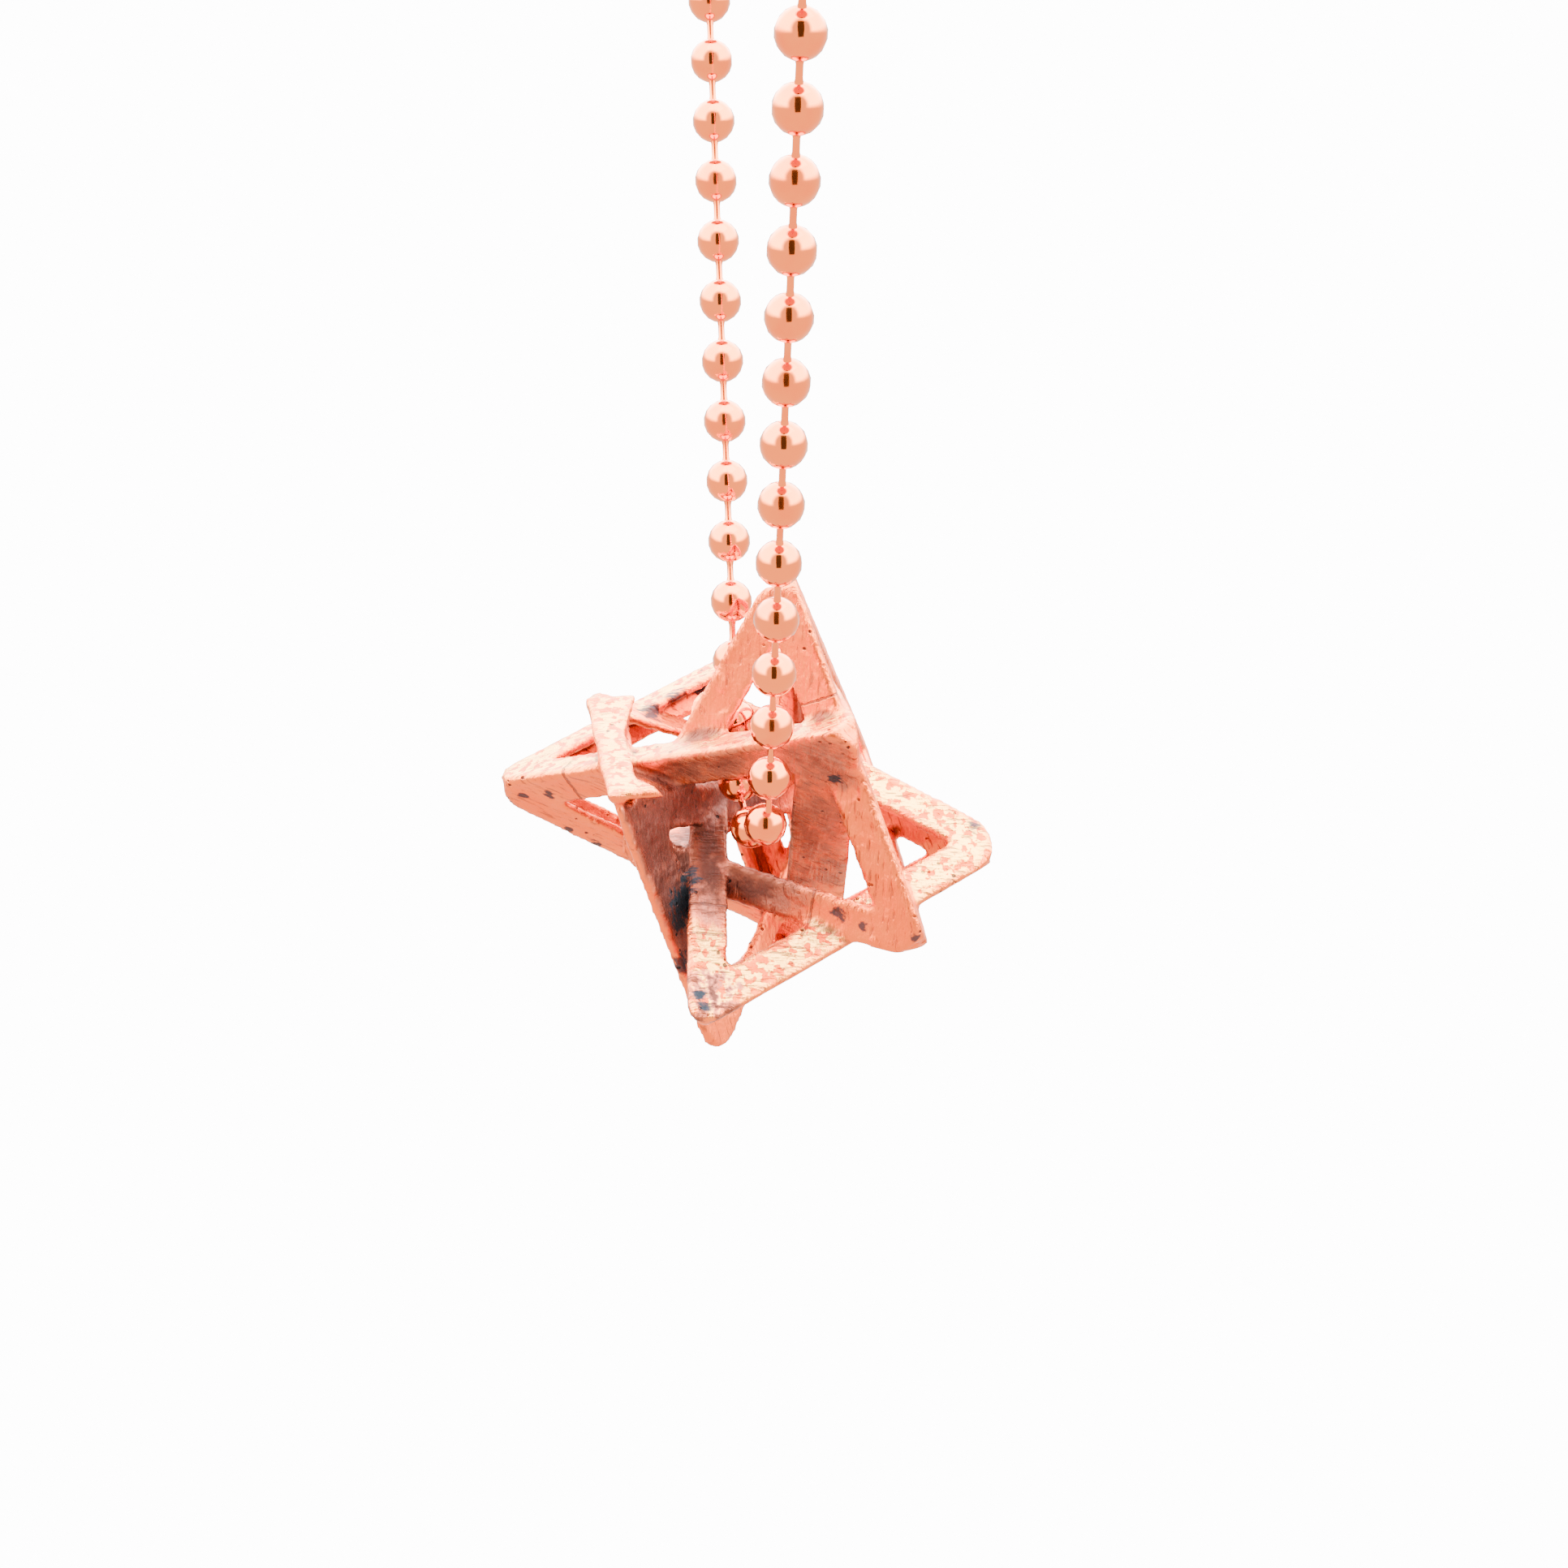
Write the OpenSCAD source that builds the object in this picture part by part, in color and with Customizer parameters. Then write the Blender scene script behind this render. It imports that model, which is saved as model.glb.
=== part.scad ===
// Open star pendant of joined triangular frames, threaded on a ball chain loop
// Millimetres, +Z up. The origin is the inside of the top of the loop, where it hangs

/* [Star frame] */
// Width of the flat strips round each triangular hole
strip_w = 2.2; // [1.8:0.1:2.6]
// Thickness of the flat strips
plate_t = 0.5; // [0.4:0.05:0.7]
// Width of the broader strips that the chain bears on and that cross the middle
broad_w = 3.4; // [2.4:0.1:3.6]
// Radius of most of the rounded corners
corner_r = 1.5; // [1:0.1:1.8]
// Radius of the blunt right-hand corner
blunt_r = 1.9; // [1.6:0.1:2.2]
// Radius of the sharp lower front corner
sharp_r = 1; // [0.6:0.1:1.4]
// Straight steps that make up one rounded corner
corner_steps = 6; // [4:1:8]

/* [Ball chain] */
// Diameter of a bead
bead_d = 2.4; // [2.2:0.05:2.5]
// Number of bead places round the whole loop
bead_places = 180; // [150:1:200]
// Distance from one bead to the next
bead_pitch = 3.4; // [3.2:0.05:3.6]
// Diameter of the wire that joins the beads
wire_d = 0.6; // [0.5:0.05:0.9]
// Gap between the wire and the holes that it runs through
wire_gap = 0.15; // [0.1:0.01:0.2]
// Angle of each leg of the loop from upright
leg_angle = 18.9; // [15:0.1:22]
// Radius of the turn that the chain makes inside the star
turn_r = 3.48; // [3:0.01:4]

/* [Connector] */
// Length of the barrel that closes the chain
barrel_l = 8; // [7:0.1:8.4]
// Outer diameter of the barrel
barrel_d = 3.4; // [3:0.1:4]
// Bead places from the star's side of the turn to the barrel, up the rear leg
barrel_place = 48; // [20:1:50]

/* [Hidden] */

gold = [0.93, 0.62, 0.50];
gold_dark = [0.80, 0.50, 0.40];

// Loop of the chain: a turn at the star, two straight legs, and a wide arc on top
half_turn = 180;
arc_sweep = half_turn + 2 * leg_angle;
turn_sweep = half_turn - 2 * leg_angle;
// Each leg passes the star a little to one side of the loop's plane
leg_offset = 0.5;
turn_skew = asin(leg_offset / (turn_r * cos(leg_angle)));
loop_len = bead_places * bead_pitch;
arc_r = (loop_len + turn_r * (2 / tan(leg_angle) - turn_sweep * PI / half_turn))
      / (2 / tan(leg_angle) + arc_sweep * PI / half_turn);
// The legs, carried on, would meet at this height
meet_z = bead_d / 2 - arc_r - arc_r / sin(leg_angle);
turn_z = meet_z + turn_r / sin(leg_angle);
arc_z = bead_d / 2 - arc_r;
turn_len = turn_r * turn_sweep * PI / half_turn;
arc_len = arc_r * arc_sweep * PI / half_turn;

// Points where the front leg starts at the turn and ends at the arc
leg_low = [sin(turn_skew) * turn_r * cos(leg_angle),
           -cos(turn_skew) * turn_r * cos(leg_angle),
           turn_z - turn_r * sin(leg_angle)];
leg_high = [0, -arc_r * cos(leg_angle), arc_z - arc_r * sin(leg_angle)];
leg_len = norm(leg_high - leg_low);
path_len = turn_len + 2 * leg_len + arc_len;
step = path_len / bead_places;
// Shift of the beads along the chain, counted from the lowest point of the turn
bead_shift = -0.37;
round_fn = 32;
wire_fn = 24;

// Tips of the star, measured from the point where the two legs would meet.
// Four frames cross in it, each with four tips.
// Standing frame: the top tip, the lower right tip, and two behind
tip_top = [1.71, 0.42, 23.08];
tip_right_low = [9.58, -4.37, 0.31];
tip_left_rear = [-7.81, 4.95, 3.98];
tip_rear = [9.48, 20.22, 5.32];
// Right-hand frame: the wide right tip, the lower front tip, and two behind
tip_right = [16.12, 3.26, 4.53];
tip_front_low = [-4.36, -6.59, -2.06];
tip_inner_top = [-2.31, 11.58, 13.11];
tip_rear_low = [3.68, 12.03, -6.28];
// Left-hand frame: the left tip, the upper front tip, and two behind
tip_left = [-15.47, 7.04, 8.11];
tip_front_high = [5.37, -4.38, 14.29];
tip_rear_high = [4.85, 18.20, 14.39];
tip_inner_low = [5.90, 7.99, -4.36];
// Nearest frame: the bend on the left, the upper left tip, the lowest tip, and one behind
tip_bend = [-7.86, -1.92, 10.19];
tip_left_high = [-8.56, 10.74, 12.60];
tip_lowest = [-2.03, 0.56, -7.50];
tip_inner_rear = [7.44, 13.79, 5.83];
// Widths of three strips that differ from the others
upper_left_w = 2.5;
bend_w = 3;
low_w = 1.6;
// Strip widths and corner radii of a frame with nothing of its own stated
even_w = [strip_w, strip_w, strip_w];
even_r = [corner_r, corner_r, corner_r];
// How far each strip stands out past the line between its two tips
edge_lap = 0.1;
// Direction that lies across the view of the star, to the right
across = [0.9925, -0.1219, 0];

// The flared bar from the bend to the upper left tip, across its length
bar_foot = 2.8;
bar_waist = 1.5;
bar_head = 2.7;
// How far it runs up towards the tip, as a part of the way
bar_part = 0.9;
// Where its waist starts and ends, as parts of its length
waist_from = 0.18;
waist_to = 0.62;

// Unit vector along v
function unit(v) = v / norm(v);

// Corner i of a triangle p, wrapping round
function corner(p, i) = p[(i + 3) % 3];
// Half of the angle at corner i
function half_angle(p, i) =
  acos(unit(corner(p, i + 1) - corner(p, i)) * unit(corner(p, i - 1) - corner(p, i))) / 2;
// Unit vector from corner i into the triangle, halfway between its sides
function inward(p, i) =
  unit(unit(corner(p, i + 1) - corner(p, i)) + unit(corner(p, i - 1) - corner(p, i)));
// Triangle p with its sides moved in, side i by w[i]
function inset(p, w) = [
  for (i = [0:2])
    let (u = unit(corner(p, i + 1) - corner(p, i)), v = unit(corner(p, i - 1) - corner(p, i)))
      corner(p, i) + (w[(i + 2) % 3] * u + w[i] * v) / sin(2 * half_angle(p, i))
];
// Direction, in degrees, that the side after corner i faces outwards
function facing(p, i) = let (d = corner(p, i + 1) - corner(p, i)) atan2(-d.x, d.y);
// Triangle p with rounded corners, corner i to the radius r[i]
function rounded(p, r) = [
  for (i = [0:2])
    let (centre = corner(p, i) + inward(p, i) * r[i] / sin(half_angle(p, i)),
         start = facing(p, i - 1),
         sweep = half_turn - 2 * half_angle(p, i))
      for (k = [0:corner_steps])
        centre + r[i] * [cos(start + sweep * k / corner_steps), sin(start + sweep * k / corner_steps)]
];

// Puts a plate on the plane of a, b and c, with x from a to b and c on the side of +y.
// The plate's thickness lies on the side of the point d
module on_plane(a, b, c, d) {
  x = unit(b - a);
  n = unit(cross(b - a, c - a));
  y = cross(n, x);
  translate(a)
    rotate([atan2(y.z, n.z), -asin(x.z), atan2(x.y, x.x)])
      translate([0, 0, n * (d - a) > 0 ? -edge_lap : edge_lap - plate_t])
        linear_extrude(plate_t) children();
}

// Triangular frame between three tips, its thickness on the side of the fourth tip d.
// w has the strip widths of sides ab, bc and ca, and r the radii of corners a, b and c
module frame(a, b, c, d, w = even_w, r = even_r) {
  x = unit(b - a);
  n = unit(cross(b - a, c - a));
  p = [[0, 0], [norm(b - a), 0], [(c - a) * x, (c - a) * cross(n, x)]];
  on_plane(a, b, c, d)
    difference() {
      polygon(rounded(p, r));
      polygon(inset(p, w));
    }
}

// Flat bar that runs from the bend up to the upper left tip and widens at both ends
module flared_bar(a, b, d) {
  l = norm(b - a) * bar_part;
  edge = -plate_t / 2;
  on_plane(a, b, a + across, d)
    polygon([[0, edge], [l, edge], [l, bar_head], [l * waist_to, bar_waist],
             [l * waist_from, bar_waist], [0, bar_foot]]);
}

module star_frame() {
  color(gold)
    translate([0, 0, meet_z]) {
      frame(tip_top, tip_right_low, tip_left_rear, tip_rear);
      frame(tip_top, tip_right_low, tip_rear, tip_left_rear, even_w, [corner_r, blunt_r, corner_r]);
      frame(tip_right_low, tip_left_rear, tip_rear, tip_top, even_w, [blunt_r, corner_r, corner_r]);

      frame(tip_inner_top, tip_right, tip_front_low, tip_rear_low, even_w, [corner_r, blunt_r, sharp_r]);
      frame(tip_inner_top, tip_right, tip_rear_low, tip_front_low,
            [broad_w, strip_w, strip_w], [corner_r, blunt_r, corner_r]);
      frame(tip_inner_top, tip_front_low, tip_rear_low, tip_right);
      frame(tip_right, tip_front_low, tip_rear_low, tip_inner_top, even_w, [blunt_r, corner_r, corner_r]);

      frame(tip_left, tip_rear_high, tip_front_high, tip_inner_low);
      frame(tip_left, tip_rear_high, tip_inner_low, tip_front_high);
      frame(tip_left, tip_front_high, tip_inner_low, tip_rear_high, [upper_left_w, broad_w, strip_w]);
      frame(tip_rear_high, tip_front_high, tip_inner_low, tip_left);

      frame(tip_bend, tip_left_high, tip_lowest, tip_inner_rear);
      frame(tip_bend, tip_left_high, tip_inner_rear, tip_lowest);
      frame(tip_bend, tip_lowest, tip_inner_rear, tip_left_high, [bend_w, low_w, strip_w]);
      flared_bar(tip_bend, tip_left_high, tip_inner_rear);
    }
}

// Point on the chain's centre line, a distance s from the lowest point of the turn.
// Positive distances go up the front leg, negative ones up the rear leg.
function leg_point(s) = leg_low + (leg_high - leg_low) * s / leg_len;
function front_point(s) =
  s <= turn_len / 2
    ? let (a = s / turn_r * half_turn / PI, h = turn_r * sin(a))
        [sin(turn_skew) * h, -cos(turn_skew) * h, turn_z - turn_r * cos(a)]
    : s <= turn_len / 2 + leg_len
      ? leg_point(s - turn_len / 2)
      : let (a = (s - turn_len / 2 - leg_len) / arc_r * half_turn / PI - leg_angle)
          [0, -arc_r * cos(a), arc_z + arc_r * sin(a)];
function chain_point(s) =
  s >= 0 ? front_point(s) : let (p = front_point(-s)) [-p.x, -p.y, p.z];

// Direction of the chain at a distance s, taken over a short stretch
bead_stretch = 0.05;
function chain_dir(s) = unit(chain_point(s + bead_stretch) - chain_point(s - bead_stretch));

// Turns the z axis to the direction d
module aim(d) {
  rotate([0, acos(d.z), atan2(d.y, d.x)]) children();
}

// Places that the barrel takes up hold no bead
function is_bead(k) = abs(k + barrel_place) > 1;
// The wire bends inside the beads of the turn, which are bored wider for it
function bore_r(s) = wire_d / 2 + wire_gap + (abs(s) < turn_len / 2 + bead_d ? bead_d * bead_d / 8 / turn_r : 0);

module ball_chain() {
  color(gold)
    for (k = [-bead_places / 2 : bead_places / 2 - 1])
      if (is_bead(k)) {
        s = k * step + bead_shift;
        translate(chain_point(s)) aim(chain_dir(s))
          difference() {
            sphere(d = bead_d, $fn = round_fn);
            cylinder(h = 2 * bead_d, r = bore_r(s), center = true, $fn = wire_fn);
          }
      }
}

// Places of the wire's sections: close together round the turn and the arc, none on the legs
turn_steps = 24;
arc_steps = 60;
half_way = turn_len / 2 + leg_len;
stations = concat(
  [for (i = [0:turn_steps]) (i / turn_steps - 0.5) * turn_len],
  [for (i = [0:arc_steps]) half_way + i / arc_steps * arc_len]
);
// The upper half of the arc is reached by running on past the top
function loop_point(s) = chain_point(s > path_len / 2 ? s - path_len : s);
wire_stretch = 0.02;
function loop_dir(s) = unit(loop_point(s + wire_stretch) - loop_point(s - wire_stretch));
wire_sides = 6;

module chain_wire() {
  count = len(stations);
  points = [
    for (s = stations)
      let (d = loop_dir(s), u = unit(cross([1, 0, 0], d)), v = cross(d, u))
        for (j = [0:wire_sides - 1])
          loop_point(s) + wire_d / 2 * (u * cos(j * 360 / wire_sides) + v * sin(j * 360 / wire_sides))
  ];
  faces = [
    for (i = [0:count - 1], j = [0:wire_sides - 1])
      let (i2 = (i + 1) % count, j2 = (j + 1) % wire_sides)
        each [[i * wire_sides + j, i * wire_sides + j2, i2 * wire_sides + j2],
              [i * wire_sides + j, i2 * wire_sides + j2, i2 * wire_sides + j]]
  ];
  color(gold_dark) polyhedron(points, faces, convexity = 6);
}

// Barrel on the rear leg, bored for the wire, with its ends turned down
module chain_connector() {
  mid = chain_point(-barrel_place * step + bead_shift);
  bore = wire_d / 2 + wire_gap;
  chamfer = 0.4;
  half = barrel_l / 2;
  color(gold_dark)
    translate(mid)
      aim(chain_dir(-barrel_place * step + bead_shift))
        rotate_extrude($fn = 2 * round_fn)
          polygon([[bore, -half], [barrel_d / 2 - chamfer, -half], [barrel_d / 2, chamfer - half],
                   [barrel_d / 2, half - chamfer], [barrel_d / 2 - chamfer, half], [bore, half]]);
}

star_frame();
ball_chain();
chain_wire();
chain_connector();
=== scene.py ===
# %% [markdown]
# A cast star pendant on a ball chain
#
# The object is a small open star, about 29 mm across. Flat strips form triangular
# frames that cross each other, and the whole star is cast in one piece in a rose gold
# coloured metal. It hangs on a loop of ball chain that runs straight through it.
# The solids from the CAD model are loaded first, as a fixed frame. Everything below
# is built around them, in metres.

# %% Load the solids
import math

import bpy
import numpy as np
from mathutils import Matrix, Vector, noise


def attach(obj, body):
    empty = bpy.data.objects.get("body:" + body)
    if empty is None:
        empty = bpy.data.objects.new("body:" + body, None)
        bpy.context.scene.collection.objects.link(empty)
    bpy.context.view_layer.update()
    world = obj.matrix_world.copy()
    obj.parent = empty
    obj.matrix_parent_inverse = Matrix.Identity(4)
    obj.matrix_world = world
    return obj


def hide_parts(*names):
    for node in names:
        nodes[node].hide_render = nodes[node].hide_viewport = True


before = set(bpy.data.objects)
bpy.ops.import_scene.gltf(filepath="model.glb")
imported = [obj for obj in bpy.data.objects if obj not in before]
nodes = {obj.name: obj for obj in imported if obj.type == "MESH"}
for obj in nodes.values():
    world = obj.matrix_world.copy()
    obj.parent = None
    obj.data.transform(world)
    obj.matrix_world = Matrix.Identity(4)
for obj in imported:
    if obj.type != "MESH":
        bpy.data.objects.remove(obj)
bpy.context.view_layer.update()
print("solids:", sorted(nodes))

# %% [markdown]
# The camera
#
# The photograph is taken from close by, slightly above the star and a little to its
# left. The place of the camera was worked out from the beads of the chain: they are
# all the same size, so the way they grow towards the camera gives the distance.

# %% The camera
MM = 0.001
PHOTO_SIDE = 1932
FOCAL_PIXELS = 3000
SENSOR_MM = 36

camera_place = Vector((-13.8233, -126.8157, -209.5416)) * MM
camera_right = Vector((0.992546, -0.121869, 0))
camera_up = Vector((0.039476, 0.321503, 0.946085))
camera_back = camera_right.cross(camera_up)
camera_turn = Matrix((camera_right, camera_up, camera_back)).transposed().to_4x4()
camera_data = bpy.data.cameras.new("photo_camera")
camera_data.sensor_width = SENSOR_MM
camera_data.lens = SENSOR_MM * FOCAL_PIXELS / PHOTO_SIDE
camera_data.clip_start = MM
camera = bpy.data.objects.new("photo_camera", camera_data)
camera.matrix_world = Matrix.Translation(camera_place) @ camera_turn
bpy.context.collection.objects.link(camera)
bpy.context.scene.camera = camera
print("lens %.1f mm" % camera_data.lens)

# %% [markdown]
# The way of the chain
#
# A chain that hangs from a peg with a weight at the bottom makes two straight legs.
# Here they run from a wide arc at the top, 18.9 degrees from upright, down to a tight
# turn inside the star. The same numbers as in the CAD source give the same points, so
# each bead that is modelled here sits where its solid is. The places for beads and
# their pitch set the length of the loop, and the radius of the arc follows from it.

# %% The way of the chain
BEAD_D = 2.4 * MM
BEAD_PLACES = 180
BEAD_PITCH = 3.4 * MM
LEG_ANGLE = math.radians(18.9)
TURN_R = 3.48 * MM
LEG_OFFSET = 0.5 * MM

arc_sweep = math.pi + 2 * LEG_ANGLE
turn_sweep = math.pi - 2 * LEG_ANGLE
turn_skew = math.asin(LEG_OFFSET / (TURN_R * math.cos(LEG_ANGLE)))
arc_r = ((BEAD_PLACES * BEAD_PITCH + TURN_R * (2 / math.tan(LEG_ANGLE) - turn_sweep))
         / (2 / math.tan(LEG_ANGLE) + arc_sweep))
meet_z = BEAD_D / 2 - arc_r - arc_r / math.sin(LEG_ANGLE)
turn_z = meet_z + TURN_R / math.sin(LEG_ANGLE)
arc_z = BEAD_D / 2 - arc_r
turn_len = TURN_R * turn_sweep
leg_low = Vector((math.sin(turn_skew) * TURN_R * math.cos(LEG_ANGLE),
                  -math.cos(turn_skew) * TURN_R * math.cos(LEG_ANGLE),
                  turn_z - TURN_R * math.sin(LEG_ANGLE)))
leg_high = Vector((0, -arc_r * math.cos(LEG_ANGLE), arc_z - arc_r * math.sin(LEG_ANGLE)))
leg_len = (leg_high - leg_low).length
path_len = turn_len + 2 * leg_len + arc_r * arc_sweep
step = path_len / BEAD_PLACES
print("loop %.0f mm long, arc of radius %.1f mm" % (path_len / MM, arc_r / MM))

# %% [markdown]
# Points along the chain
#
# A place on the chain is given by its distance from the lowest point of the loop: round
# the tight turn, up a leg and over the arc. The rear half is the front half turned half
# a turn about the upright axis, so only the front half is worked out. The connector
# takes the room of three beads on the rear half.

# %% Points along the chain
BEAD_SHIFT = -0.37 * MM
BARREL_PLACE = 48
LOOK_AHEAD = 0.05 * MM


def front_point(s):
    """Point on the front half of the loop, s along it from the lowest point."""
    if s <= turn_len / 2:
        a = s / TURN_R
        out = TURN_R * math.sin(a)
        return Vector((math.sin(turn_skew) * out, -math.cos(turn_skew) * out,
                       turn_z - TURN_R * math.cos(a)))
    if s <= turn_len / 2 + leg_len:
        return leg_low.lerp(leg_high, (s - turn_len / 2) / leg_len)
    a = (s - turn_len / 2 - leg_len) / arc_r - LEG_ANGLE
    return Vector((0, -arc_r * math.cos(a), arc_z + arc_r * math.sin(a)))


def chain_point(s):
    """Point on the chain: positive up the front leg, negative up the rear one."""
    if s >= 0:
        return front_point(s)
    p = front_point(-s)
    return Vector((-p.x, -p.y, p.z))


def chain_dir(s):
    """Direction of the chain at s."""
    return (chain_point(s + LOOK_AHEAD) - chain_point(s - LOOK_AHEAD)).normalized()


chain_places = range(-BEAD_PLACES // 2, BEAD_PLACES // 2)
bead_places = [k for k in chain_places if abs(k + BARREL_PLACE) > 1]
link_places = [k for k in chain_places if k + BARREL_PLACE not in (-1, 0)]
print("room for %d beads and %d links" % (len(bead_places), len(link_places)))

# %% [markdown]
# Helpers for modelling
#
# An operator in Blender works on all that is selected, so everything is let go of
# before a new piece starts. Faces, edges or points are then picked by a test on their
# place or normal, as a hand would pick them with the mouse.

# %% Helpers for modelling
DOUBLES = MM / 1000


def let_go():
    """Deselects everything and makes nothing active."""
    bpy.ops.object.select_all(action="DESELECT")
    bpy.context.view_layer.objects.active = None


def pick(piece, kind, test):
    """Selects in edit mode the faces, edges or vertices for which test is true."""
    bpy.ops.object.mode_set(mode="OBJECT")
    mesh = piece.data
    for part in (mesh.vertices, mesh.edges, mesh.polygons):
        for one in part:
            one.select = False
    for one in getattr(mesh, kind):
        one.select = bool(test(one))
    mode = {"vertices": "VERT", "edges": "EDGE", "polygons": "FACE"}[kind]
    bpy.ops.object.mode_set(mode="EDIT")
    bpy.ops.mesh.select_mode(type=mode)


def close_off(piece, angle):
    """Merges doubles, turns the faces outwards and shades bends up to angle smooth."""
    bpy.ops.object.mode_set(mode="EDIT")
    bpy.ops.mesh.select_all(action="SELECT")
    bpy.ops.mesh.remove_doubles(threshold=DOUBLES)
    bpy.ops.mesh.normals_make_consistent(inside=False)
    bpy.ops.object.mode_set(mode="OBJECT")
    bpy.ops.object.shade_smooth_by_angle(angle=angle)
    print("one of them has %d faces" % len(piece.data.polygons))


# %% [markdown]
# Copies along the chain
#
# What repeats on the chain is modelled once at the origin. Each copy has a mesh of its
# own, which is turned with its z axis along the chain and moved to its place, and all
# the copies are joined into one piece.


# %% Copies along the chain
def string_on(pattern, places, name):
    """Copies pattern to each place, a distance and a spin, and joins the copies."""
    copies = []
    for s, spin in places:
        copy = pattern.copy()
        copy.data = pattern.data.copy()
        bpy.context.collection.objects.link(copy)
        aim = chain_dir(s).to_track_quat("Z", "X").to_matrix().to_4x4()
        copy.data.transform(Matrix.Translation(chain_point(s)) @ aim
                            @ Matrix.Rotation(spin, 4, "Z"))
        copies.append(copy)
    let_go()
    for copy in copies:
        copy.select_set(True)
    bpy.context.view_layer.objects.active = copies[0]
    bpy.ops.object.join()
    strung = bpy.context.view_layer.objects.active
    strung.name = strung.data.name = name
    bpy.data.objects.remove(pattern)
    print("%s: %d copies, %d faces" % (name, len(copies), len(strung.data.polygons)))
    return strung


# %% [markdown]
# The beads
#
# A bead of a ball chain is a thin metal strip rolled up into a hollow ball, with a
# small collar at each end where the wire goes in. It could be spun from a profile, but
# a ready sphere is quicker. It has few faces, because there are 177 beads. The cap at
# each pole is made one flat face, which is then drawn out into the collar.

# %% The beads
BEAD_SIDES = 14
BEAD_RINGS = 9
BEAD_SPIN = 0.7
CAP_BAND = 0.03 * MM
FLAT_UP = 0.99
COLLAR_IN = 0.05 * MM
COLLAR_UP = 0.07 * MM
SOFT_ANGLE = math.radians(50)

let_go()
bpy.ops.mesh.primitive_uv_sphere_add(segments=BEAD_SIDES, ring_count=BEAD_RINGS,
                                     radius=BEAD_D / 2)
bead = bpy.context.active_object
cap_z = BEAD_D / 2 * math.cos(0.5 * math.pi / BEAD_RINGS)
pick(bead, "polygons", lambda f: abs(f.center.z) > cap_z - CAP_BAND)
bpy.ops.mesh.dissolve_faces()
for side in (1, -1):
    pick(bead, "polygons", lambda f: f.normal.z * side > FLAT_UP)
    bpy.ops.mesh.inset(thickness=COLLAR_IN)
    bpy.ops.mesh.extrude_region_move(
        TRANSFORM_OT_translate={"value": (0, 0, side * COLLAR_UP)})
close_off(bead, SOFT_ANGLE)
beads = string_on(bead, [(k * step + BEAD_SHIFT, k * BEAD_SPIN) for k in bead_places],
                  "chain_beads")

# %% [markdown]
# The links
#
# Between two beads shows a short stretch of wire. Each one is really a small dumbbell
# whose heads sit inside the beads. A thin cylinder with a waist is enough, because the
# heads are hidden.

# %% The links
LINK_SIDES = 10
LINK_R = 0.25 * MM
LINK_HIDDEN = 0.3 * MM
WAIST_CUTS = (-0.25, 0.25)
WAIST_BAND = 0.3
WAIST = 0.72

link_len = step - BEAD_D + LINK_HIDDEN
let_go()
bpy.ops.mesh.primitive_cylinder_add(vertices=LINK_SIDES, radius=LINK_R, depth=link_len)
link = bpy.context.active_object
bpy.ops.object.mode_set(mode="EDIT")
for cut in WAIST_CUTS:
    bpy.ops.mesh.select_all(action="SELECT")
    bpy.ops.mesh.bisect(plane_co=(0, 0, cut * link_len), plane_no=(0, 0, 1))
pick(link, "vertices", lambda v: abs(v.co.z) < WAIST_BAND * link_len)
bpy.ops.transform.resize(value=(WAIST, WAIST, 1))
close_off(link, SOFT_ANGLE)
links = string_on(link, [((k + 0.5) * step + BEAD_SHIFT, 0) for k in link_places],
                  "chain_links")

# %% [markdown]
# The connector
#
# A ball chain is closed by a small barrel of folded sheet that grips a bead in each
# end. It is out of the photograph, so this one is a plain turned barrel. It could be
# spun from a profile too. Here a cylinder is cut across at a few heights, and each ring
# of points is drawn in to its own radius, as on a lathe: that gives the rounded ends
# and a narrow groove next to each of them. Last, a shallow bore is sunk into each end.

# %% The connector
BARREL_L = 8 * MM
BARREL_R = 1.7 * MM
BARREL_SIDES = 40
# Heights above and below the middle as parts of the length, radii as parts of BARREL_R
BARREL_RINGS = ((0.5, 0.76), (0.485, 0.89), (0.455, 0.97), (0.42, 1.0), (0.365, 1.0),
                (0.355, 0.92), (0.335, 0.92), (0.325, 1.0), (0.2, 1.0))
RING_BAND = 0.003
END_FACE = 0.499
BORE_RIM = 0.75 * MM
BORE_DEPTH = 0.5 * MM
BARREL_ANGLE = math.radians(35)

let_go()
bpy.ops.mesh.primitive_cylinder_add(vertices=BARREL_SIDES, radius=BARREL_R, depth=BARREL_L)
barrel = bpy.context.active_object
bpy.ops.object.mode_set(mode="EDIT")
for height, _ in BARREL_RINGS[1:]:
    for side in (1, -1):
        bpy.ops.mesh.select_all(action="SELECT")
        bpy.ops.mesh.bisect(plane_co=(0, 0, side * height * BARREL_L), plane_no=(0, 0, 1))
for height, part in BARREL_RINGS:
    pick(barrel, "vertices", lambda v: abs(abs(v.co.z) / BARREL_L - height) < RING_BAND)
    bpy.ops.transform.resize(value=(part, part, 1))
for side in (1, -1):
    pick(barrel, "polygons", lambda f: f.center.z * side > END_FACE * BARREL_L)
    bpy.ops.mesh.inset(thickness=BORE_RIM)
    bpy.ops.mesh.extrude_region_move(
        TRANSFORM_OT_translate={"value": (0, 0, -side * BORE_DEPTH)})
close_off(barrel, BARREL_ANGLE)
connector = string_on(barrel, [(-BARREL_PLACE * step + BEAD_SHIFT, 0)], "chain_barrel")

# %% [markdown]
# The star
#
# The solid of the star has flat strips with sharp edges. The real star came out of a
# mould and was filed and tumbled by hand, so its edges are soft. They could be bevelled
# one by one, but where frames cross at odd angles a bevel tears. A voxel remesh of a
# copy rounds them all alike, and gives enough points for the unevenness that follows.

# %% The star, remeshed
VOXEL = 0.212 * MM

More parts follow.
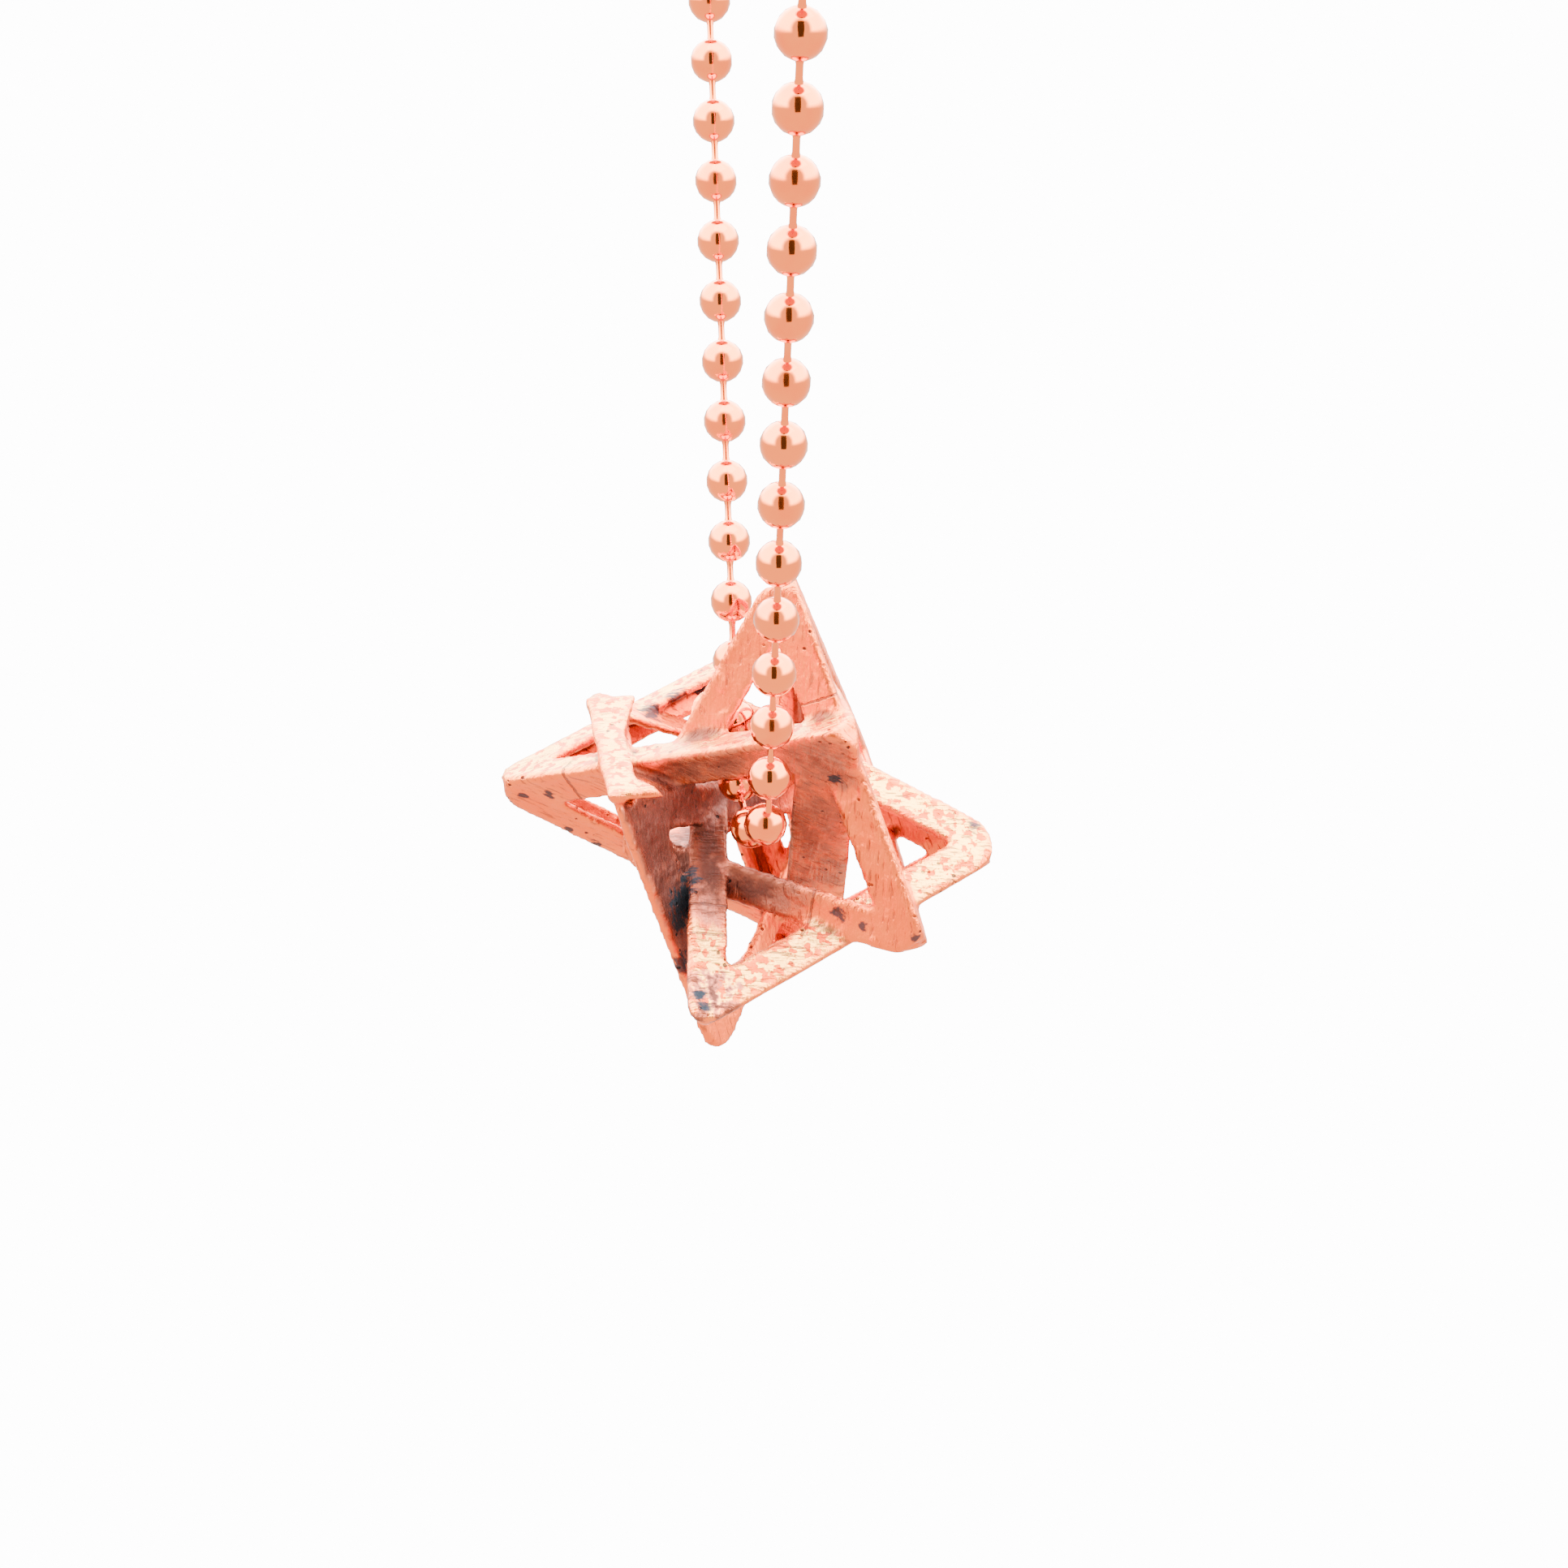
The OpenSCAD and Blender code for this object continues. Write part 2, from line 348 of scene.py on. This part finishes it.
let_go()
star = nodes["star_frame"].copy()
star.data = nodes["star_frame"].data.copy()
star.name = star.data.name = "cast_star"
bpy.context.collection.objects.link(star)
star.hide_set(False)
star.hide_render = False
star.select_set(True)
bpy.context.view_layer.objects.active = star
star.data.materials.clear()
bpy.ops.object.mode_set(mode="EDIT")
bpy.ops.mesh.select_all(action="SELECT")
bpy.ops.mesh.remove_doubles(threshold=DOUBLES)
bpy.ops.object.mode_set(mode="OBJECT")
remesh = star.modifiers.new("Cast", "REMESH")
remesh.mode = "VOXEL"
remesh.voxel_size = VOXEL
remesh.use_smooth_shade = True
bpy.ops.object.modifier_apply(modifier=remesh.name)
print("star: %d faces after the remesh" % len(star.data.polygons))

# %% [markdown]
# The points of the star
#
# The next steps treat every point of the star alike, so its places, normals and edges
# are read into arrays. To average a point with its neighbours, again and again, is the
# same as smoothing by hand. It serves both to find the edges and to soften a mask.

# %% The points of the star
mesh = star.data
count = len(mesh.vertices)


def listed(items, what, width, kind):
    """One value of all the items of the mesh, as an array with width columns."""
    out = np.empty(len(items) * width, dtype=kind)
    items.foreach_get(what, out)
    return out.reshape(-1, width)


place = listed(mesh.vertices, "co", 3, float)
normal = listed(mesh.vertex_normals, "vector", 3, np.float32).astype(float)
ends = listed(mesh.edges, "vertices", 2, np.int32)
neighbours = np.bincount(ends.ravel(), minlength=count)


def evened(values, rounds):
    """Averages values with those of the neighbours, a number of times."""
    out = values.astype(float)
    for _ in range(rounds):
        total = np.stack([np.bincount(ends[:, 0], out[ends[:, 1], i], count)
                          + np.bincount(ends[:, 1], out[ends[:, 0], i], count)
                          for i in range(out.shape[1])], axis=1)
        out = (out + total / neighbours[:, None]) / 2
    return out


print("star: %d points, %d edges" % (count, len(ends)))

# %% [markdown]
# Rims and unevenness
#
# A thin raised rim runs along most edges of the real star, and its faces are a little
# uneven from the mould and the file. How far a point stands out from its smoothed
# neighbours finds the edges and, the other way round, the inner corners. Each point is
# then pushed along its normal: out near an edge, and everywhere a little in or out by
# soft noise. A texture could fake this, but then the outline would stay straight.

# %% Rims and unevenness
OUT_ROUNDS = 8
OUT_FULL = 0.1 * MM
# Rounds of averaging, and how much stronger the mask is made after them
EDGE_SPREAD = (6, 2)
HOLLOW_SPREAD = (12, 2.5)
RIM_HEIGHT = 0.035 * MM
# Size and height of each wave of unevenness
WAVES = ((1.6 * MM, 0.022 * MM), (0.6 * MM, 0.012 * MM))


def spread(values, rounds, gain):
    """Mask from 0 to 1 that reaches a little further than values do."""
    return np.clip(evened(np.clip(values, 0, 1)[:, None], rounds)[:, 0] * gain, 0, 1)


stands_out = ((place - evened(place, OUT_ROUNDS)) * normal).sum(axis=1)
bump_out = np.clip(stands_out / OUT_FULL, -1, 1)
edge = spread(bump_out, *EDGE_SPREAD)
hollow = spread(-bump_out, *HOLLOW_SPREAD)
push = RIM_HEIGHT * edge * (1 - np.clip(bump_out, 0, 1))
for size, height in WAVES:
    push += height * np.array([noise.noise(Vector(p) / size) for p in place])
place = evened(place, 1) + normal * push[:, None]
mesh.vertices.foreach_set("co", place.astype(np.float32).ravel())
print("pushed by %.3f to %.3f mm" % (push.min() / MM, push.max() / MM))

# %% [markdown]
# Painted highlights and painted shade on plates
#
# A few upward facing plates get a painted highlight: cream patches for the glare of the
# light above, partly also a brushed finish. Some others get painted brown shade, partly
# tarnish. Such a plate could be painted by hand, but here it is found by a point on it and
# the way that it faces. What isn't named gets more painted brown shade and tarnish the
# nearer it lies to the heart of the star. Both masks, and those of the edges and the inner
# corners, are kept as attributes of the mesh for the material to read: the rims get a paler
# orange, partly painted highlight and partly wear, and the inner corners get painted shade.

# %% Plates with painted highlights and painted shade
PLATE_REACH = 0.3 * MM
PLATE_FACING = 0.8
PLATE_ROUNDS = 3
BROWN_REACH = 10
# A point in mm on each plate, the way that it faces, how much painted highlight it gets
# (partly brushing), how much painted brown shade and tarnish it gets within BROWN_REACH mm.
# None leaves the brown to the distance from HEART.
PLATES = (((-3.49, -4.76, -263.62), (0.06, -0.64, 0.76), 1, None),
          ((5.13, 1.90, -248.76), (-0.29, -0.01, 0.96), 1, None),
          ((-7.23, 5.92, -251.35), (-0.02, -0.19, 0.98), 1, None),
          ((8.95, -4.80, -261.0), (-0.47, -0.88, 0.02), 0, 0.0),
          ((2.5, -1.4, -248.0), (-0.47, -0.88, 0.02), 0, 0.0),
          ((-5.76, -0.13, -254.54), (0.73, -0.67, 0.15), 0, 1.0),
          ((4.36, -1.72, -252.48), (-0.28, -0.80, -0.54), 0, 0.5))
HEART = (-0.5, 3.5, -257.0)
HEART_R = (4.2, 7.8)


def mm_away(point):
    """Distance in mm of each point of the star from a point given in mm."""
    return np.linalg.norm(place / MM - np.array(point), axis=1)


# Painted highlight on upward plates, partly a brushed finish
sheen_and_brushed = np.zeros(count)
# Painted brown shade, partly tarnish, strongest near the heart of the star
shade_and_tarnish = np.interp(mm_away(HEART), HEART_R, (1, 0))
for point, facing, shine, brown in PLATES:
    off = np.abs((place - np.array(point) * MM) @ np.array(facing))
    on_plate = (off < PLATE_REACH) & (normal @ np.array(facing) > PLATE_FACING)
    sheen_and_brushed[on_plate] = shine
    if brown is not None:
        on_plate &= mm_away(point) < BROWN_REACH
        shade_and_tarnish[on_plate] = brown
sheen_and_brushed, shade_and_tarnish = evened(np.stack([sheen_and_brushed, shade_and_tarnish], axis=1), PLATE_ROUNDS).T
masks = {"edge": edge, "hollow": hollow, "sheen_and_brushed": sheen_and_brushed, "shade_and_tarnish": shade_and_tarnish}
for name, values in masks.items():
    attribute = mesh.attributes.new(name, "FLOAT", "POINT")
    attribute.data.foreach_set("value", values.astype(np.float32))
    print("%s: %.2f of the points" % (name, (values > 0.5).mean()))
mesh.update()

# %% [markdown]
# Sums on sockets
#
# A shader is a sum like any other. This small class wraps a socket, so that an
# expression such as 1 - mask adds the Math nodes that it needs.


# %% Sums on sockets
class Wire:
    """A socket that can be used in sums."""

    def __init__(self, tree, socket):
        self.tree, self.socket = tree, socket

    def __add__(self, other):
        return self.tree.sum(self, "ADD", other)

    def __radd__(self, other):
        return self.tree.sum(other, "ADD", self)

    def __sub__(self, other):
        return self.tree.sum(self, "SUBTRACT", other)

    def __rsub__(self, other):
        return self.tree.sum(other, "SUBTRACT", self)

    def __mul__(self, other):
        return self.tree.sum(self, "MULTIPLY", other)

    def __rmul__(self, other):
        return self.tree.sum(other, "MULTIPLY", self)

    def above(self, low, high):
        """0 below low, 1 above high and a smooth step between."""
        settings = {"interpolation_type": "SMOOTHSTEP"}
        return self.tree.node("ShaderNodeMapRange", settings,
                              {"Value": self, "From Min": low, "From Max": high})


# %% [markdown]
# Finishes
#
# A finish holds the nodes of one material, or of the world round the object. All its
# nodes come from one method that takes the node's type, its settings and its inputs.
# The patterns read the object's own coordinates, so they stay on the metal.


# %% Finishes
class Finish:
    """A material or world, and the one method that adds its nodes."""

    def __init__(self, name, made_as="materials", shader="Principled BSDF"):
        self.block = getattr(bpy.data, made_as).new(name)
        self.block.use_nodes = True
        self.nodes = self.block.node_tree.nodes
        self.links = self.block.node_tree.links
        self.shader = self.nodes[shader]

    def plug(self, socket, value):
        """Links a wire to the socket, or sets a plain value on it."""
        if isinstance(value, Wire):
            self.links.new(value.socket, socket)
        else:
            socket.default_value = value

    def node(self, kind, settings=None, inputs=None, out=0):
        """Adds a node and gives the wire from its output out."""
        made = self.nodes.new(kind)
        for key, value in (settings or {}).items():
            setattr(made, key, value)
        for key, value in (inputs or {}).items():
            self.plug(made.inputs[key], value)
        return Wire(self, made.outputs[out])

    def sum(self, a, operation, b=0):
        """Math node with a and b, each a wire or a number."""
        return self.node("ShaderNodeMath", {"operation": operation}, {0: a, 1: b})

    def largest(self, wires):
        """The largest of several masks at each place."""
        top, *others = wires
        for one in others:
            top = self.sum(one, "MAXIMUM", top)
        return top

    def mix(self, factor, a, b):
        """Colour a where factor is 0 and colour b where it is 1."""
        return self.node("ShaderNodeMix", {"data_type": "RGBA"}, {0: factor, 6: a, 7: b}, 2)

    def coords(self):
        """Place on the object, in metres."""
        return self.node("ShaderNodeTexCoord", out="Object")

    def stretched(self, scale, turned):
        """Place on the object, turned and scaled differently along three axes."""
        return self.node("ShaderNodeMapping", None,
                         {"Vector": self.coords(), "Scale": scale, "Rotation": turned})

    def noise(self, scale, detail, at=None):
        """Soft noise with so many waves to the metre."""
        return self.node("ShaderNodeTexNoise", None,
                         {"Vector": at or self.coords(), "Scale": scale, "Detail": detail})

    def patches(self, scale, detail, low, high):
        """Noise made into patches, with soft borders from low to high."""
        return self.noise(scale, detail).above(low, high)

    def bump(self, height, depth):
        """Normal of a relief with the given height, 0 to 1, and depth."""
        return self.node("ShaderNodeBump", None, {"Height": height, "Distance": depth})

    def set(self, **values):
        """Sets or links sockets of the shader, named with _ for a space."""
        for key, value in values.items():
            self.plug(self.shader.inputs[key.replace("_", " ")], value)

    def show(self, to_camera, to_others):
        """Shows one shader to the camera and another to all other rays."""
        seen = self.node("ShaderNodeLightPath", out="Is Camera Ray")
        both = self.node("ShaderNodeMixShader", None, {0: seen, 1: to_others, 2: to_camera})
        end = next(node for node in self.nodes if node.type.startswith("OUTPUT"))
        self.plug(end.inputs["Surface"], both)


# %% [markdown]
# Painted shade, tarnish and painted highlights of the cast metal
#
# The metal is orange where it is smooth. A few plates get a painted highlight, partly a
# brushed finish, and there pale cream patches lie between orange ones. The heart of the
# star gets painted brown shade, partly tarnish where skin and cloth never rub it, and one
# low corner is brown too.
# Inner corners get painted shade.
# Each of these is first made a mask, from 0 to 1, with soft noise to break its border.

# %% Painted shade, tarnish and painted highlights of the cast metal
# Scale and detail of a noise, and the two ends of its step where it has one
BLOTCH = (1900, 4, 0.44, 0.5)
MOTTLE = (1600, 5, 0.36, 0.62)
CLOUD = (450, 4)
CORNER_SHADE_NOISE = (900, 4)
HEART_CLOUD = 1.5
KEEPS_BRIGHT = (0.1, 0.8)
LOW_CORNER = (-3.4, -5.2, -264.0)
LOW_CORNER_R = (1.7, 3.0)
LOW_CORNER_CLOUD = 2
LOW_CORNER_BROWN = 0.8
CORNER_SHADE_STEP = (0.35, 0.75)

cast = Finish("cast_rose_gold")
edge_mask, hollow_mask, sheen_and_brushed_mask, shade_and_tarnish_mask = (
    cast.node("ShaderNodeAttribute", {"attribute_name": name}, out="Fac") for name in masks)


def distance_mm(point):
    """Distance in mm from a point given in mm."""
    away = cast.node("ShaderNodeVectorMath", {"operation": "DISTANCE"},
                     {0: cast.coords(), 1: Vector(point) * MM}, "Value")
    return away * (1 / MM)


cloud = cast.noise(*CLOUD)
uneven = cloud - 0.5
mottle = cast.patches(*MOTTLE)
# Painted brown shade, partly tarnish, in the heart of the star
heart_shade_and_tarnish = shade_and_tarnish_mask * (1 + uneven * HEART_CLOUD)
# Painted highlight on the upward plates, partly a brushed finish, gone where the heart is
# brown
painted_sheen = sheen_and_brushed_mask * (1 - heart_shade_and_tarnish.above(*KEEPS_BRIGHT))
# Cream patches of the painted highlight
sheen_patches = painted_sheen * cast.patches(*BLOTCH)
low_corner = 1 - (distance_mm(LOW_CORNER) + uneven * LOW_CORNER_CLOUD).above(*LOW_CORNER_R)
low_corner = low_corner * mottle * LOW_CORNER_BROWN
# Painted brown shade and tarnish: the heart, and one low corner
brown_shade_and_tarnish = cast.largest([low_corner, heart_shade_and_tarnish * (0.85 + 0.25 * mottle)]).above(0, 1)
# Painted shade in the inner corners
corner_shade = (hollow_mask * (0.35 + cast.noise(*CORNER_SHADE_NOISE))).above(*CORNER_SHADE_STEP)
print("masks of the cast metal:", len(cast.nodes), "nodes")

# %% [markdown]
# The colours of the cast metal
#
# The masks lay one colour over another: the painted highlight first, partly a brushed
# finish, then painted brown shade and tarnish, first tan and then brown, then painted shade
# in the inner corners, and last the rims, a paler orange, partly painted highlight and
# partly wear, wherever the brown doesn't hold.

# %% The colours of the cast metal
ROSE = (0.97, 0.138, 0.02, 1)
PALE = (1.0, 0.175, 0.032, 1)
DEEP = (0.45, 0.055, 0.012, 1)
SHEEN_CREAM = (1.0, 0.53, 0.13, 1)
TAN = (0.42, 0.13, 0.085, 1)
BROWN = (0.14, 0.054, 0.044, 1)
UMBER = (0.065, 0.026, 0.021, 1)
CLOUD_STEP = (0.35, 0.65)
TAN_STEP = (0, 0.6)
BROWN_STEP = (0.5, 1)

# Deeper orange under the painted highlight, between its cream patches
colour = cast.mix(painted_sheen * 0.7, ROSE, DEEP)
colour = cast.mix(cloud.above(*CLOUD_STEP), colour, cast.mix(painted_sheen, PALE, colour))
# Painted highlight: cream patches
colour = cast.mix(sheen_patches, colour, SHEEN_CREAM)
# Painted brown shade, partly tarnish, in tan and then brown
colour = cast.mix(brown_shade_and_tarnish.above(*TAN_STEP), colour, TAN)
colour = cast.mix(brown_shade_and_tarnish.above(*BROWN_STEP), colour, cast.mix(sheen_and_brushed_mask, BROWN, UMBER))
# Painted shade in the inner corners
colour = cast.mix(corner_shade * 0.8, colour, BROWN)
# Rims a paler orange: partly painted highlight, partly wear
colour = cast.mix(edge_mask * (0.45 - 0.35 * brown_shade_and_tarnish), colour, PALE)
print("with its colours:", len(cast.nodes), "nodes")

# %% [markdown]
# Stains
#
# Blue-black stains from casting and heat lie in a few places. They could be painted on
# an image, but a pattern needs no file beside the script. Each stain is given by a point
# on the star and a size in mm, and a warped distance from the point gives it a ragged
# outline, drawn out one way like a brush stroke.

# %% Stains
STAINS = ((-3.9, 0.6, -260.3, 1.3), (-3.6, 1.2, -259.2, 0.9), (-4.2, 0.1, -261.3, 0.8),
          (4.4, -1.7, -252.5, 0.5), (-4.2, -0.4, -263.6, 0.8),
          (-6.3, 7.7, -251.9, 0.8), (-5.0, 10.3, -252.1, 0.9), (-3.2, 11.2, -251.6, 1.0),
          (-3.5, -4.8, -263.6, 0.5), (-3.3, -5.3, -264.1, 0.45),
          (4.6, -1.8, -260.5, 0.5), (5.9, -2.5, -261.0, 0.35), (8.6, -3.9, -261.3, 0.4),
          (13.4, 4.0, -257.7, 0.55), (-11.1, 5.5, -255.2, 0.4), (-10.0, 7.0, -258.0, 0.35),
          (-8.5, 7.1, -259.0, 0.4), (-12.6, 6.2, -255.5, 0.35), (-1.6, 13.6, -251.8, 0.7))
STAIN_CORE = 0.45
STREAKS = ((1400, 5600, 2600), (0.5, 0.3, 0.7))
RAGGED = 2.6

streaks = cast.noise(1, 4, cast.stretched(*STREAKS))
ragged = streaks * RAGGED - RAGGED / 2
stain = cast.largest([
    1 - (distance_mm((x, y, z)) + ragged * size).above(STAIN_CORE * size, size)
    for x, y, z, size in STAINS])
print("%d stains, %d nodes" % (len(STAINS), len(cast.nodes)))

# %% [markdown]
# Seams, pits and hairs
#
# Thin dark seams cross the strips in five places, where the pieces of the wax model
# were joined. Each is given by a point and the direction of the strip that it crosses.
# Small pits are scattered over the plates in groups, and fine dark hairs follow the
# file marks. All of them are too fine for the mesh, so they are colour and, later,
# relief in the material.

# %% Seams, pits and hairs
SEAMS = (((3.1, -1.1, -260.6), (0.87, -0.47, -0.14)),
         ((-9.9, 4.5, -254.4), (0.849, -0.465, 0.252)),
         ((3.6, -0.9, -248.2), (0.32, -0.195, -0.927)),
         ((-2.4, -1.9, -261.3), (0.086, 0.765, 0.638)),
         ((-2.3, -0.5, -260.1), (0.086, 0.765, 0.638)))
SEAM_STEP = (0.05, 0.1)
SEAM_REACH = (1.28, 1.6)
SEAM_RAGGED = 0.08
PITS = 1500
PIT_STEP = (0.1, 0.2)
PIT_RAGGED = 0.08
PIT_GROUPS = (330, 2, 0.47, 0.6)
FILED_ONE_WAY = (0.3, 0.5, 0.4)
HAIRS = (900, 9000, 900)
HAIR_STEP = (0.56, 0.7)
BLACK = (0.012, 0.014, 0.016, 1)
BLUE = (0.022, 0.042, 0.058, 1)


def seam_at(point, along):
    """Dark line across a strip at point, for a short way to both sides."""
    offset = cast.node("ShaderNodeVectorMath", {"operation": "SUBTRACT"},
                       {0: cast.coords(), 1: Vector(point) * MM})
    across = cast.node("ShaderNodeVectorMath", {"operation": "DOT_PRODUCT"},
                       {0: offset, 1: Vector(along) / MM}, "Value")
    line = 1 - cast.sum(across + ragged * SEAM_RAGGED, "ABSOLUTE").above(*SEAM_STEP)
    return line * (1 - distance_mm(point).above(*SEAM_REACH))


seam = cast.largest([seam_at(*one) for one in SEAMS])
dots = cast.node("ShaderNodeTexVoronoi", None,
                 {"Vector": cast.coords(), "Scale": PITS}, "Distance")
pit = (1 - (dots + ragged * PIT_RAGGED).above(*PIT_STEP)) * cast.patches(*PIT_GROUPS)
hairs = cast.noise(1, 3, cast.stretched(HAIRS, FILED_ONE_WAY)).above(*HAIR_STEP)
colour = cast.mix(hairs * (0.5 + 0.2 * sheen_patches), colour, BROWN)
colour = cast.mix(seam * 0.7, colour, BROWN)
colour = cast.mix(stain * 0.9, colour, BLUE)
colour = cast.mix(pit * 0.9, colour, BLACK)
print("%d seams, %d nodes" % (len(SEAMS), len(cast.nodes)))

# %% [markdown]
# The relief of the cast metal
#
# File marks run in two directions as very long, thin noise. The grain of the mould, the
# pits and the seams are added to them. This relief is far finer than the mesh, so a
# bump does it.
# Tarnish with painted brown shade, painted shade in the inner corners, and stains are
# duller than clean metal, and the rims are the smoothest.

# %% The relief of the cast metal
RELIEF = 0.11 * MM
SCRATCH_A = (800, 7000, 800)
SCRATCH_B = (7000, 700, 900)
FILED_OTHER_WAY = (0.2, -0.4, -0.5)
GRAIN = (6000, 4)
SCORED = (500, 2, 0.45, 0.6)

scratch_a = cast.noise(1, 2, cast.stretched(SCRATCH_A, FILED_ONE_WAY))
scratch_b = cast.noise(1, 2, cast.stretched(SCRATCH_B, FILED_OTHER_WAY))
height = (cast.noise(*GRAIN) * 0.25
          + (scratch_a * 0.6 + scratch_b * 0.5) * (0.35 + cast.patches(*SCORED))
          + sheen_patches * 0.15 + streaks * 0.3 - hairs * 0.3 - pit * 0.8 - seam * 0.8)
rough = (0.34 + 0.12 * brown_shade_and_tarnish + 0.15 * corner_shade + 0.2 * stain + 0.15 * scratch_a
         - 0.1 * edge_mask - 0.08 * sheen_patches)
cast.set(Metallic=1.0, Base_Color=colour, Roughness=rough, Normal=cast.bump(height, RELIEF))
star.data.materials.append(cast.block)
print("star material:", len(cast.nodes), "nodes")

# %% [markdown]
# The polished metal
#
# The beads, links and connector are drawn and tumbled, so they are close to a mirror,
# and what they look like comes mostly from the light around them. A perfect mirror in
# one colour would look like glass. A little cloudiness in colour and roughness and a
# very fine wear make it metal.

# %% The polished metal
POLISHED = (1.0, 0.23, 0.055, 1)
WORN = (0.98, 0.19, 0.045, 1)
HAZE = (600, 3, 0.4, 0.7)
WEAR = (4000, 2)
WEAR_DEPTH = 0.002 * MM

polished = Finish("polished_rose_gold")
haze = polished.patches(*HAZE)
polished.set(Metallic=1.0, Base_Color=polished.mix(haze, POLISHED, WORN),
             Roughness=0.08 + 0.08 * haze,
             Normal=polished.bump(polished.noise(*WEAR), WEAR_DEPTH))
for piece in (beads, links, connector):
    piece.data.materials.clear()
    piece.data.materials.append(polished.block)
print("chain material:", len(polished.nodes), "nodes")

# %% [markdown]
# The floor
#
# The photograph has a pure white ground and no shadow. A wide pale floor lies a little
# below the star. The camera sees it white. To the metal, which mirrors it from below,
# it is as warm and even as the room, so no line of a horizon shows on the beads.

# %% The floor
FLOOR_Z = -0.32
FLOOR_SIDE = 30
WHITE = (1, 1, 1, 1)
WHITE_GLOW = 14
WARM = (1, 0.85, 0.7)
ROOM_LIGHT = 2.4

let_go()
bpy.ops.mesh.primitive_plane_add(size=FLOOR_SIDE, location=(0, 0, FLOOR_Z))
floor = bpy.context.active_object
floor.name = "studio_floor"
bpy.ops.object.transform_apply(location=True, rotation=False, scale=False)
pale = Finish("pale_floor")
white = pale.node("ShaderNodeEmission", None, {"Color": WHITE, "Strength": WHITE_GLOW})
soft = pale.node("ShaderNodeEmission", None, {"Color": (*WARM, 1), "Strength": ROOM_LIGHT})
pale.show(white, soft)
floor.data.materials.append(pale.block)
print("floor %d m wide, %.0f mm under the top of the chain" % (FLOOR_SIDE, -FLOOR_Z / MM))

# %% [markdown]
# The dark plane
#
# Each bead in the photograph mirrors a dark upright slot: the opening in front of the
# camera. It could be painted on the beads, but then it would stay there from every
# side. A narrow black plane hangs behind the camera instead, where it never gets in the
# way of the view, and the metal mirrors it.

# %% The dark plane
FLAG_BACK = 0.25
FLAG_SIZE = (0.18, 0.5)
CLOTH_BLACK = (0.01, 0.01, 0.01, 1)

let_go()
bpy.ops.mesh.primitive_plane_add(size=1)
flag = bpy.context.active_object
flag.name = "dark_flag"
flag.data.transform(Matrix.Translation(camera_place + camera_back * FLAG_BACK) @ camera_turn
                    @ Matrix.Diagonal((*FLAG_SIZE, 1, 1)))
flag.visible_camera = False
black = Finish("black_cloth")
black.set(Base_Color=CLOTH_BLACK, Roughness=1)
flag.data.materials.append(black.block)
print("dark plane %.0f mm behind the camera" % (FLAG_BACK / MM))

# %% [markdown]
# The lamps
#
# Most of the light comes from all round. Two large soft lamps, above and behind the
# star, only lift the upper and rear sides a little. They shine at a point in the star
# and aren't seen by the camera.

# %% The lamps
STAR_CENTRE = Vector((0.002, 0.004, -0.257))
LAMP_AWAY = 0.6
# Name, direction from the star, width and height in metres, watts
LAMPS = (("top_light", (0.15, -0.1, 1), (0.6, 0.5), 3),
         ("back_light", (0, 0.85, 0.5), (0.9, 0.5), 4))

for name, toward, sides, watts in LAMPS:
    data = bpy.data.lights.new(name, "AREA")
    data.shape = "RECTANGLE"
    data.size, data.size_y = sides
    data.energy = watts
    data.color = WARM
    lamp = bpy.data.objects.new(name, data)
    toward = Vector(toward).normalized()
    lamp.location = STAR_CENTRE + toward * LAMP_AWAY
    lamp.rotation_euler = toward.to_track_quat("Z", "Y").to_euler()
    lamp.visible_camera = False
    bpy.context.collection.objects.link(lamp)
    print("%s: %d W" % (name, watts))

# %% [markdown]
# The tent
#
# Small shiny things are photographed in a tent of white cloth that is lit from outside.
# The upper half of each bead mirrors it, so it could be built of bright planes, but
# their edges would show in the beads. Here the world is the tent: it brightens smoothly
# from the horizon up, and has a soft gap where the camera looks in. The camera itself
# sees plain white behind the object.

# %% The tent
TENT_LIGHT = 14
TENT_RISE = (-0.02, 0.3)
TENT_GAP = (0.6, 0.85)

tent = Finish("studio", "worlds", "Background")
way = tent.node("ShaderNodeTexCoord", out="Generated")
high = tent.node("ShaderNodeSeparateXYZ", None, {"Vector": way}, "Z").above(*TENT_RISE)
gap = tent.node("ShaderNodeVectorMath", {"operation": "DOT_PRODUCT"},
                {0: way, 1: camera_back}, "Value").above(*TENT_GAP)
glare = high * (1 - gap)
tent.set(Color=tent.mix(glare, (*WARM, 1), WHITE),
         Strength=ROOM_LIGHT + glare * (TENT_LIGHT - ROOM_LIGHT))
ground = tent.node("ShaderNodeBackground", None, {"Color": WHITE, "Strength": WHITE_GLOW})
tent.show(ground, Wire(tent, tent.shader.outputs[0]))
bpy.context.scene.world = tent.block
print("tent:", len(tent.nodes), "nodes")

# %% [markdown]
# What stands for what
#
# Each dressed piece takes the place of one solid. The solids stay in the physics
# model. There is no joint, so every piece rides on the one body.

# %% What stands for what
for piece, node, finish in ((star, "star_frame", "rose_gold"),
                            (beads, "ball_chain", "rose_gold_polished"),
                            (links, "chain_wire", "rose_gold_polished"),
                            (connector, "chain_connector", "rose_gold_polished")):
    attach(piece, "root")
    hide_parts(node)
    print("%s stands for %s" % (piece.name, node))
